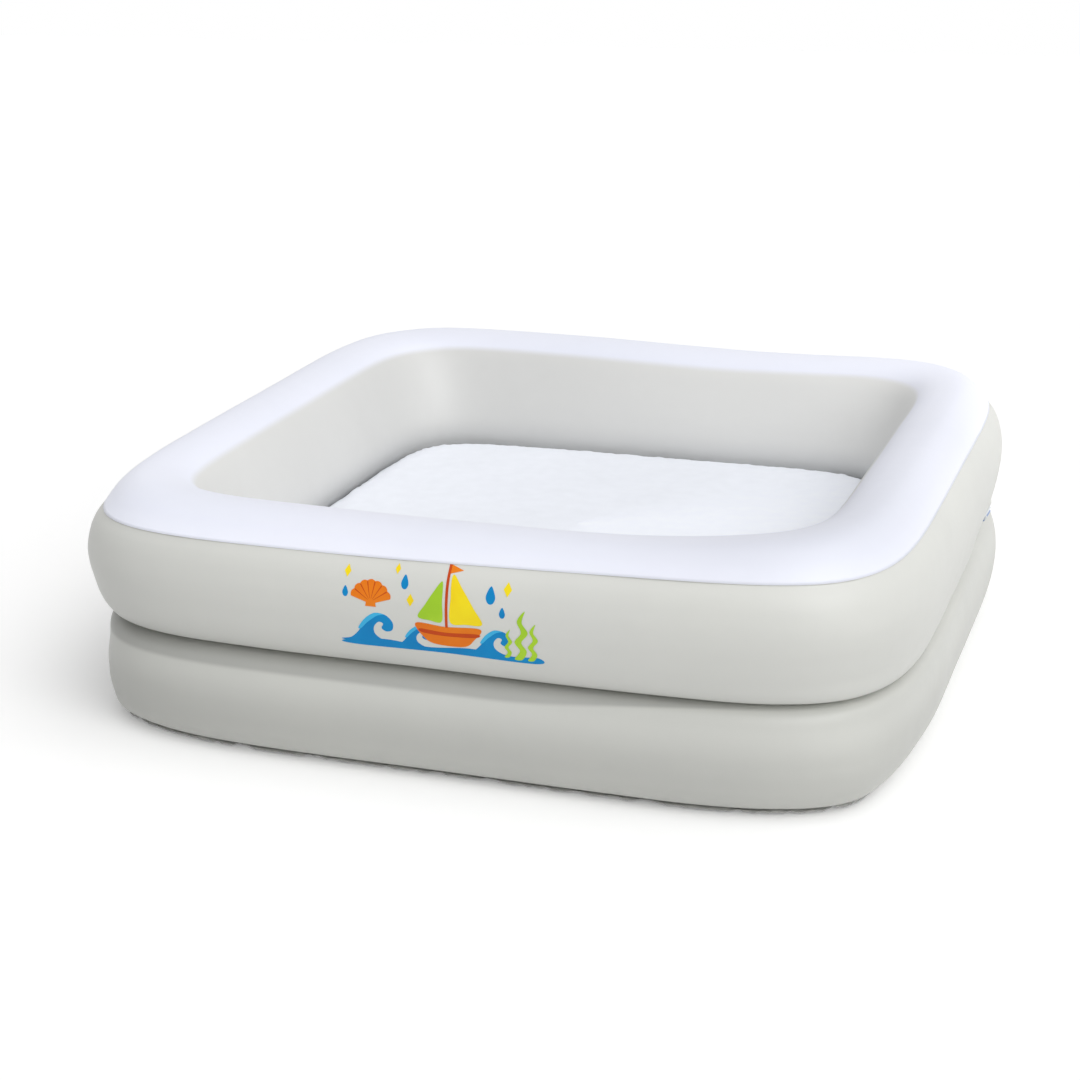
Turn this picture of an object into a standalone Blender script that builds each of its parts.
"""Inflatable bathtub: two stacked square air rings, a raised air floor, three air valves and a drain.

Units are metres, +Z is up. The origin is the centre of the flat foot, on the surface it stands on.
Every wall is a single sheet of vinyl film. Sheets that are welded together lie on each other
with a small gap, so that each one stays a piece of its own.
"""
import math

import bmesh
import bpy
from mathutils import Matrix, Vector

MM = 0.001

# Overall size
WIDTH = 860 * MM
HEIGHT = 247 * MM
RING_WIDTH = 132 * MM
JOINT_HEIGHT = 106.5 * MM
FLOOR_HEIGHT = 130 * MM

# Film and welds
FILM = 0.35 * MM
GAP = 0.3 * MM
HEM = 7 * MM
FOOT_HEM = 6.5 * MM

# Plan outline: an exponent of 2 is a circle, a high one is a square with tight corners
LOWER_SQUARENESS = 5.0
UPPER_SQUARENESS = 6.0
INNER_EXTRA_SQUARENESS = 2.0
LOOP_POINTS = 48
CORNER_CROWDING_SHARE = 0.7

# Ring sections: the first number is a share of the ring's width, counted inwards from its widest
# line, and the second is a share of the height from the joint up to the crown (upper ring), or
# from the ground up to the joint (lower ring). The upper ring's table runs from the recess on
# the outside over the crown to the inner joint.
UPPER_WALL_SHARES = [
    (0.199, 0.016), (0.133, 0.074), (0.076, 0.173), (0.040, 0.318), (0.027, 0.476),
    (0.044, 0.618), (0.088, 0.735), (0.156, 0.820),
]
UPPER_TOP_SHARES = [
    (0.206, 0.886), (0.272, 0.948), (0.350, 0.987), (0.440, 1.000), (0.535, 0.994),
    (0.625, 0.974), (0.706, 0.935), (0.780, 0.864), (0.852, 0.742), (0.925, 0.576),
    (0.980, 0.396), (0.998, 0.256), (0.970, 0.136), (0.922, 0.050),
]
LOWER_OUTER_SHARES = [
    (0.185, 0.974), (0.102, 0.902), (0.042, 0.780), (0.008, 0.632), (0.000, 0.494),
    (0.015, 0.340), (0.062, 0.196), (0.138, 0.098), (0.226, 0.043), (0.292, 0.018),
]
LOWER_INNER_SHARES = [
    (0.925, 0.935), (0.985, 0.700), (0.985, 0.330), (0.925, 0.085),
]
FLOOR_EDGE_SHARES = [
    (0.905, 0.050), (0.958, 0.310), (1.012, 0.630), (1.082, 0.870), (1.170, 0.978), (1.300, 1.000),
]
OUTER_JOINT_SHARE = 0.252
INNER_JOINT_SHARE = 0.868
FOOT_SHARE = 0.333
INNER_FOOT_SHARE = 0.850

# Air floor
TIE_COUNT = 5
TIE_PITCH = 100 * MM
TIE_LENGTH = 520 * MM

# Air valves, one in each ring and one in the floor; they rest pressed in
VALVE_BASE_RADIUS = 13 * MM
VALVE_BASE_DEPTH = 6 * MM
VALVE_BASE_PROUD = 1 * MM
VALVE_WALL = 1.2 * MM
STEM_RADIUS = 6 * MM
STEM_BORE_RADIUS = 4.4 * MM
STEM_DEPTH = 14 * MM
COLLAR_RADIUS = 10.8 * MM
COLLAR_THICKNESS = 1.5 * MM
FLAP_THICKNESS = 0.5 * MM
FLAP_RIM = 0.5 * MM
TURNED_STEPS = 20
MERGE_DISTANCE = 0.01 * MM

# Plug with its strap, for an air valve and for the drain
STRAP_THICKNESS = 0.9 * MM
CAP_THICKNESS = 1.3 * MM
KNUCKLE_RADIUS = 0.7 * MM
PLUG_FIT = 0.5 * MM
PLUG_TAPER = 0.9 * MM
VALVE_PLUG_DEPTH = 4.5 * MM
VALVE_CAP_RADIUS = 7.4 * MM
VALVE_STRAP_WIDTH = 5 * MM
VALVE_PIVOT_RADIUS = 9.9 * MM
DRAIN_PLUG_DEPTH = 6 * MM
DRAIN_CAP_RADIUS = 13 * MM
DRAIN_STRAP_WIDTH = 8 * MM
DRAIN_PIVOT_RADIUS = 17 * MM
TAB_REACH = 2.2 * MM

# Drain
DRAIN_BORE_RADIUS = 9 * MM
DRAIN_SEAT_RADIUS = 20 * MM
DRAIN_SEAT_DEPTH = 2.5 * MM

# Places of the valves and the drain
UPPER_VALVE_ALONG = 175 * MM
UPPER_VALVE_WALL_SHARE = 0.24
LOWER_VALVE_ALONG = 175 * MM
LOWER_VALVE_WALL_SHARE = 0.27
FLOOR_FITTING_ACROSS = 150 * MM
FLOOR_FITTING_BACK = 150 * MM

# Worked out from the sizes above
HALF = WIDTH / 2
RING_RISE = HEIGHT - JOINT_HEIGHT - FILM / 2
LAYER = FILM + GAP
LOWER_BULGE_HEIGHT = JOINT_HEIGHT / 2
UPPER_BULGE_HEIGHT = JOINT_HEIGHT + RING_RISE / 2
FOOT_LAYER = FILM / 2 + LAYER

FILM_WHITE = (0.80, 0.81, 0.83, 1.0)
FLOOR_WHITE = (0.86, 0.87, 0.90, 1.0)
FITTING_WHITE = (0.78, 0.79, 0.80, 1.0)


def clear_scene():
    for thing in list(bpy.data.objects):
        bpy.data.objects.remove(thing, do_unlink=True)
    for group in list(bpy.data.collections):
        bpy.data.collections.remove(group)


def new_collection(name):
    group = bpy.data.collections.new(name)
    bpy.context.scene.collection.children.link(group)
    return group


def new_material(name, colour, roughness):
    material = bpy.data.materials.new(name)
    material.use_nodes = True
    shader = material.node_tree.nodes["Principled BSDF"]
    shader.inputs["Base Color"].default_value = colour
    shader.inputs["Roughness"].default_value = roughness
    shader.inputs["Metallic"].default_value = 0.0
    material.diffuse_color = colour
    return material


def new_object(name, mesh, group, colour=None, roughness=0.4):
    thing = bpy.data.objects.new(name, mesh)
    group.objects.link(thing)
    if colour is not None:
        thing.data.materials.append(new_material(name, colour, roughness))
    return thing


def evaluated_mesh(thing):
    """The mesh that an object's modifiers give, as a mesh of its own."""
    bpy.context.view_layer.update()
    depsgraph = bpy.context.evaluated_depsgraph_get()
    return bpy.data.meshes.new_from_object(thing.evaluated_get(depsgraph))


def apply_modifiers(thing):
    mesh = evaluated_mesh(thing)
    thing.modifiers.clear()
    thing.data = mesh


def cutter(thing):
    thing.hide_render = True
    thing.display_type = "WIRE"
    return thing


def cut(thing, tool, operation="DIFFERENCE"):
    change = thing.modifiers.new(operation.title(), "BOOLEAN")
    change.operation = operation
    change.solver = "EXACT"
    change.object = tool


# Sheets of film

def squareness(inset, height):
    """Exponent of the plan outline at a place of the rings' section."""
    rise = (height - LOWER_BULGE_HEIGHT) / (UPPER_BULGE_HEIGHT - LOWER_BULGE_HEIGHT)
    rise = min(max(rise, 0), 1)
    outer = LOWER_SQUARENESS + (UPPER_SQUARENESS - LOWER_SQUARENESS) * rise
    return outer + INNER_EXTRA_SQUARENESS * inset / RING_WIDTH


def outline(inset, height):
    """One closed line round the tub, with its points crowded towards the corners."""
    half = HALF - inset
    power = squareness(inset, height)
    points = []
    for index in range(LOOP_POINTS):
        turn = 2 * math.pi * index / LOOP_POINTS
        angle = turn + CORNER_CROWDING_SHARE * math.sin(4 * turn) / 4
        across = abs(math.cos(angle)) ** power + abs(math.sin(angle)) ** power
        radius = half / across ** (1 / power)
        points.append((radius * math.cos(angle), radius * math.sin(angle), height))
    return points


def sheet(name, path, group, colour, roughness, centre=False):
    """A sheet of film swept round the tub along a section path of (inset, height) points."""
    mesh = bmesh.new()
    loops = [[mesh.verts.new(point) for point in outline(*place)] for place in path]
    for first, second in zip(loops, loops[1:]):
        for index in range(LOOP_POINTS):
            after = (index + 1) % LOOP_POINTS
            mesh.faces.new((first[index], first[after], second[after], second[index]))
    if centre:
        mesh.faces.new(loops[-1])
    for face in mesh.faces:
        face.smooth = True
    data = bpy.data.meshes.new(name)
    mesh.to_mesh(data)
    mesh.free()
    thing = new_object(name, data, group, colour, roughness)
    thickness = thing.modifiers.new("Film", "SOLIDIFY")
    thickness.thickness = FILM
    thickness.offset = 0
    thickness.use_even_offset = True
    return thing


def section(shares, base, rise):
    return [(across * RING_WIDTH, base + up * rise) for across, up in shares]


def offset_path(path, distance):
    """The same path moved sideways, to the left of its direction."""
    moved = []
    for index, point in enumerate(path):
        before = Vector(path[max(index - 1, 0)])
        after = Vector(path[min(index + 1, len(path) - 1)])
        along = (after - before).normalized()
        moved.append((point[0] - along.y * distance, point[1] + along.x * distance))
    return moved


def upper_wall_path():
    joint = OUTER_JOINT_SHARE * RING_WIDTH
    hem = [(joint + HEM, JOINT_HEIGHT + LAYER), (joint, JOINT_HEIGHT + LAYER)]
    wall = section(UPPER_WALL_SHARES + UPPER_TOP_SHARES[:1], JOINT_HEIGHT, RING_RISE)
    return hem + offset_path(wall, -LAYER)


def upper_top_path():
    joint = INNER_JOINT_SHARE * RING_WIDTH
    hem_height = JOINT_HEIGHT + 2 * LAYER
    hem = [(joint, hem_height), (joint - HEM, hem_height)]
    return section(UPPER_WALL_SHARES[-1:] + UPPER_TOP_SHARES, JOINT_HEIGHT, RING_RISE) + hem


def lower_outer_path():
    joint = OUTER_JOINT_SHARE * RING_WIDTH
    hem = [(joint + HEM, JOINT_HEIGHT - LAYER), (joint, JOINT_HEIGHT - LAYER)]
    foot = [(FOOT_SHARE * RING_WIDTH, FOOT_LAYER)]
    return hem + section(LOWER_OUTER_SHARES, 0, JOINT_HEIGHT) + foot


def lower_inner_path():
    joint = INNER_JOINT_SHARE * RING_WIDTH
    hem = [(joint - HEM, JOINT_HEIGHT - LAYER), (joint, JOINT_HEIGHT - LAYER)]
    foot = [(INNER_FOOT_SHARE * RING_WIDTH, FOOT_LAYER)]
    return hem + section(LOWER_INNER_SHARES, 0, JOINT_HEIGHT) + foot


def divider_path():
    return [(OUTER_JOINT_SHARE * RING_WIDTH, JOINT_HEIGHT), (INNER_JOINT_SHARE * RING_WIDTH, JOINT_HEIGHT)]


def floor_path():
    joint = INNER_JOINT_SHARE * RING_WIDTH
    hem_height = JOINT_HEIGHT + LAYER
    top = FLOOR_HEIGHT - FILM / 2
    edge = section(FLOOR_EDGE_SHARES, hem_height, top - hem_height)
    return [(joint - HEM, hem_height), (joint, hem_height)] + edge


def bottom_path():
    return [(FOOT_SHARE * RING_WIDTH - FOOT_HEM, FILM / 2), (INNER_FOOT_SHARE * RING_WIDTH, FILM / 2)]


def floor_tie(number, group):
    """One upright web that holds the air floor flat."""
    low = FILM + GAP
    high = FLOOR_HEIGHT - FILM - GAP
    place = (number - (TIE_COUNT - 1) / 2) * TIE_PITCH
    mesh = bmesh.new()
    bmesh.ops.create_cube(mesh, size=1)
    bmesh.ops.scale(mesh, vec=(TIE_LENGTH, FILM, high - low), verts=mesh.verts)
    data = bpy.data.meshes.new("floor_tie")
    mesh.to_mesh(data)
    mesh.free()
    thing = new_object(f"floor_tie_{number + 1}", data, group, FILM_WHITE, 0.45)
    thing.location = (0, place, (low + high) / 2)
    return thing


# Fittings

def turned(name, profile, group, closed):
    """A turned piece: its profile of (radius, height) points goes round the Z axis."""
    mesh = bmesh.new()
    points = [mesh.verts.new((radius, 0, height)) for radius, height in profile]
    for first, second in zip(points, points[1:]):
        mesh.edges.new((first, second))
    if closed:
        mesh.edges.new((points[-1], points[0]))
    data = bpy.data.meshes.new(name)
    mesh.to_mesh(data)
    mesh.free()
    thing = new_object(name, data, group)
    screw = thing.modifiers.new("Turn", "SCREW")
    screw.steps = TURNED_STEPS
    screw.render_steps = TURNED_STEPS
    screw.use_merge_vertices = True
    screw.merge_threshold = MERGE_DISTANCE
    apply_modifiers(thing)
    return thing


def rod(name, radius, length, group):
    mesh = bmesh.new()
    bmesh.ops.create_cone(mesh, cap_ends=True, segments=TURNED_STEPS, radius1=radius, radius2=radius,
                          depth=length)
    data = bpy.data.meshes.new(name)
    mesh.to_mesh(data)
    mesh.free()
    return new_object(name, data, group)


def bar(name, low, high, group):
    """A box between two corners."""
    mesh = bmesh.new()
    bmesh.ops.create_cube(mesh, size=1)
    size = Vector(high) - Vector(low)
    bmesh.ops.scale(mesh, vec=size, verts=mesh.verts)
    bmesh.ops.translate(mesh, vec=Vector(low) + size / 2, verts=mesh.verts)
    data = bpy.data.meshes.new(name)
    mesh.to_mesh(data)
    mesh.free()
    return new_object(name, data, group)


def paint(thing, colour, roughness=0.35):
    thing.data.materials.clear()
    thing.data.materials.append(new_material(thing.name, colour, roughness))


def place_on(thing, frame, offset=(0, 0, 0)):
    """Put a piece in a fitting's own frame, at an offset in it."""
    thing.matrix_world = frame @ Matrix.Translation(Vector(offset))


def plug(name, parts, tools, bore, depth, cap, pivot, strap):
    """A stopper with its cap, strap and pull tab; the origin is on the strap's hinge line.

    Its cap's underside lies GAP above the face that it closes, which is at KNUCKLE_RADIUS + GAP
    below the origin, and the hinge line runs along Y.
    """
    under = -KNUCKLE_RADIUS
    head = bore - PLUG_FIT
    tip = head - PLUG_TAPER
    profile = [
        (0, under + CAP_THICKNESS), (cap, under + CAP_THICKNESS), (cap, under),
        (head, under), (tip, under - depth), (0, under - depth),
    ]
    thing = turned(name, profile, parts, closed=False)
    thing.data.transform(Matrix.Translation((-pivot, 0, 0)))
    half = STRAP_THICKNESS / 2
    reach = cap + TAB_REACH
    band = bar(name + "_strap", (-pivot - reach, -strap / 2, -half), (0, strap / 2, half), tools)
    knuckle = rod(name + "_knuckle", KNUCKLE_RADIUS, strap, tools)
    knuckle.data.transform(Matrix.Rotation(math.pi / 2, 4, "X"))
    for tool in (band, knuckle):
        cut(thing, cutter(tool), "UNION")
    apply_modifiers(thing)
    paint(thing, FITTING_WHITE)
    return thing


def air_valve(prefix, frame, parts, tools):
    """Base, stem, plug and check flap of one air valve, in the frame of its place on the film."""
    plate = VALVE_BASE_PROUD - VALVE_WALL
    hole = STEM_RADIUS + GAP
    base = turned(prefix + "_base", [
        (hole, VALVE_BASE_PROUD), (VALVE_BASE_RADIUS, VALVE_BASE_PROUD),
        (VALVE_BASE_RADIUS, -VALVE_BASE_DEPTH), (VALVE_BASE_RADIUS - VALVE_WALL, -VALVE_BASE_DEPTH),
        (VALVE_BASE_RADIUS - VALVE_WALL, plate), (hole, plate),
    ], parts, closed=True)
    collar = VALVE_BASE_PROUD + GAP
    top = collar + COLLAR_THICKNESS
    stem = turned(prefix + "_stem", [
        (STEM_BORE_RADIUS, top), (COLLAR_RADIUS, top), (COLLAR_RADIUS, collar),
        (STEM_RADIUS, collar), (STEM_RADIUS, -STEM_DEPTH), (STEM_BORE_RADIUS, -STEM_DEPTH),
    ], parts, closed=True)
    flap_radius = STEM_BORE_RADIUS + FLAP_RIM
    flap = turned(prefix + "_flap", [
        (0, FLAP_THICKNESS / 2), (flap_radius, FLAP_THICKNESS / 2),
        (flap_radius, -FLAP_THICKNESS / 2), (0, -FLAP_THICKNESS / 2),
    ], parts, closed=False)
    flap.data.transform(Matrix.Translation((-flap_radius, 0, 0)))
    for thing in (base, stem, flap):
        paint(thing, FITTING_WHITE)
    stopper = plug(prefix + "_plug", parts, tools, STEM_BORE_RADIUS, VALVE_PLUG_DEPTH, VALVE_CAP_RADIUS,
                   VALVE_PIVOT_RADIUS, VALVE_STRAP_WIDTH)
    place_on(base, frame)
    place_on(stem, frame)
    place_on(flap, frame, (flap_radius, 0, -STEM_DEPTH - GAP - FLAP_THICKNESS / 2))
    place_on(stopper, frame, (VALVE_PIVOT_RADIUS, 0, top + GAP + KNUCKLE_RADIUS))


def film_hole(prefix, thing, frame, radius, tools):
    """Cut the round hole in a sheet that a fitting sits in."""
    tool = cutter(rod(prefix + "_hole", radius, VALVE_BASE_RADIUS, tools))
    tool.matrix_world = frame
    cut(thing, tool)


def drain(frame, parts, tools):
    outer = DRAIN_BORE_RADIUS + VALVE_WALL
    plate = VALVE_BASE_PROUD - VALVE_WALL
    foot = FILM + GAP - FLOOR_HEIGHT + FILM / 2
    seat = turned("drain_seat", [
        (DRAIN_BORE_RADIUS, VALVE_BASE_PROUD), (DRAIN_SEAT_RADIUS, VALVE_BASE_PROUD),
        (DRAIN_SEAT_RADIUS, -DRAIN_SEAT_DEPTH), (DRAIN_SEAT_RADIUS - VALVE_WALL, -DRAIN_SEAT_DEPTH),
        (DRAIN_SEAT_RADIUS - VALVE_WALL, plate), (outer, plate),
        (outer, foot), (DRAIN_BORE_RADIUS, foot),
    ], parts, closed=True)
    paint(seat, FITTING_WHITE)
    stopper = plug("drain_plug", parts, tools, DRAIN_BORE_RADIUS, DRAIN_PLUG_DEPTH, DRAIN_CAP_RADIUS,
                   DRAIN_PIVOT_RADIUS, DRAIN_STRAP_WIDTH)
    place_on(seat, frame)
    place_on(stopper, frame, (DRAIN_PIVOT_RADIUS, 0, VALVE_BASE_PROUD + GAP + KNUCKLE_RADIUS))


def point_along(path, share):
    """The place at a share of a path's length, and the path's direction there."""
    points = [Vector(point) for point in path]
    lengths = [(second - first).length for first, second in zip(points, points[1:])]
    left = share * sum(lengths)
    for first, second, length in zip(points, points[1:], lengths):
        if left <= length:
            return first.lerp(second, left / length), (second - first).normalized()
        left -= length
    return points[-1], (points[-1] - points[-2]).normalized()


def side_frame(path, share, along, turn):
    """Frame of a fitting on a side wall: Z points out of the film, X runs along the side.

    The side is the right one, turned about the tub's axis by turn.
    """
    place, direction = point_along(path, share)
    half = HALF - place.x
    power = squareness(*place)
    across = half * (1 - abs(along / half) ** power) ** (1 / power)
    out = Vector((abs(direction.y), 0, math.copysign(direction.x, direction.x * direction.y)))
    back = Vector((0, 1, 0))
    frame = Matrix((back, out.cross(back), out)).transposed().to_4x4()
    frame.translation = (across, along, place.y)
    return Matrix.Rotation(turn, 4, "Z") @ frame


def build():
    clear_scene()
    parts = new_collection("inflatable_bathtub")
    tools = new_collection("cutters")

    upper_wall = sheet("upper_outer_wall", upper_wall_path(), parts, FILM_WHITE, 0.4)
    sheet("upper_inner_sheet", upper_top_path(), parts, FILM_WHITE, 0.4)
    sheet("ring_divider", divider_path(), parts, FILM_WHITE, 0.45)
    lower_wall = sheet("lower_outer_wall", lower_outer_path(), parts, FILM_WHITE, 0.4)
    sheet("lower_inner_wall", lower_inner_path(), parts, FILM_WHITE, 0.45)
    floor = sheet("floor_top_sheet", floor_path(), parts, FLOOR_WHITE, 0.55, centre=True)
    bottom = sheet("bottom_sheet", bottom_path(), parts, FILM_WHITE, 0.5, centre=True)
    for number in range(TIE_COUNT):
        floor_tie(number, parts)

    upper = side_frame(upper_wall_path(), UPPER_VALVE_WALL_SHARE, UPPER_VALVE_ALONG, 0)
    lower = side_frame(lower_outer_path(), LOWER_VALVE_WALL_SHARE, LOWER_VALVE_ALONG, math.pi / 2)
    floor_top = FLOOR_HEIGHT - FILM / 2
    air = Matrix.Translation((FLOOR_FITTING_ACROSS, -FLOOR_FITTING_BACK, floor_top))
    water = Matrix.Translation((-FLOOR_FITTING_ACROSS, -FLOOR_FITTING_BACK, floor_top))
    for prefix, frame, film in (("upper_valve", upper, upper_wall), ("lower_valve", lower, lower_wall),
                                ("floor_valve", air, floor)):
        film_hole(prefix, film, frame, VALVE_BASE_RADIUS + GAP, tools)
        air_valve(prefix, frame, parts, tools)
    film_hole("drain_floor", floor, water, DRAIN_SEAT_RADIUS + GAP, tools)
    outlet = Matrix.Translation((-FLOOR_FITTING_ACROSS, -FLOOR_FITTING_BACK, 0))
    film_hole("drain_bottom", bottom, outlet, DRAIN_BORE_RADIUS, tools)
    drain(water, parts, tools)


build()
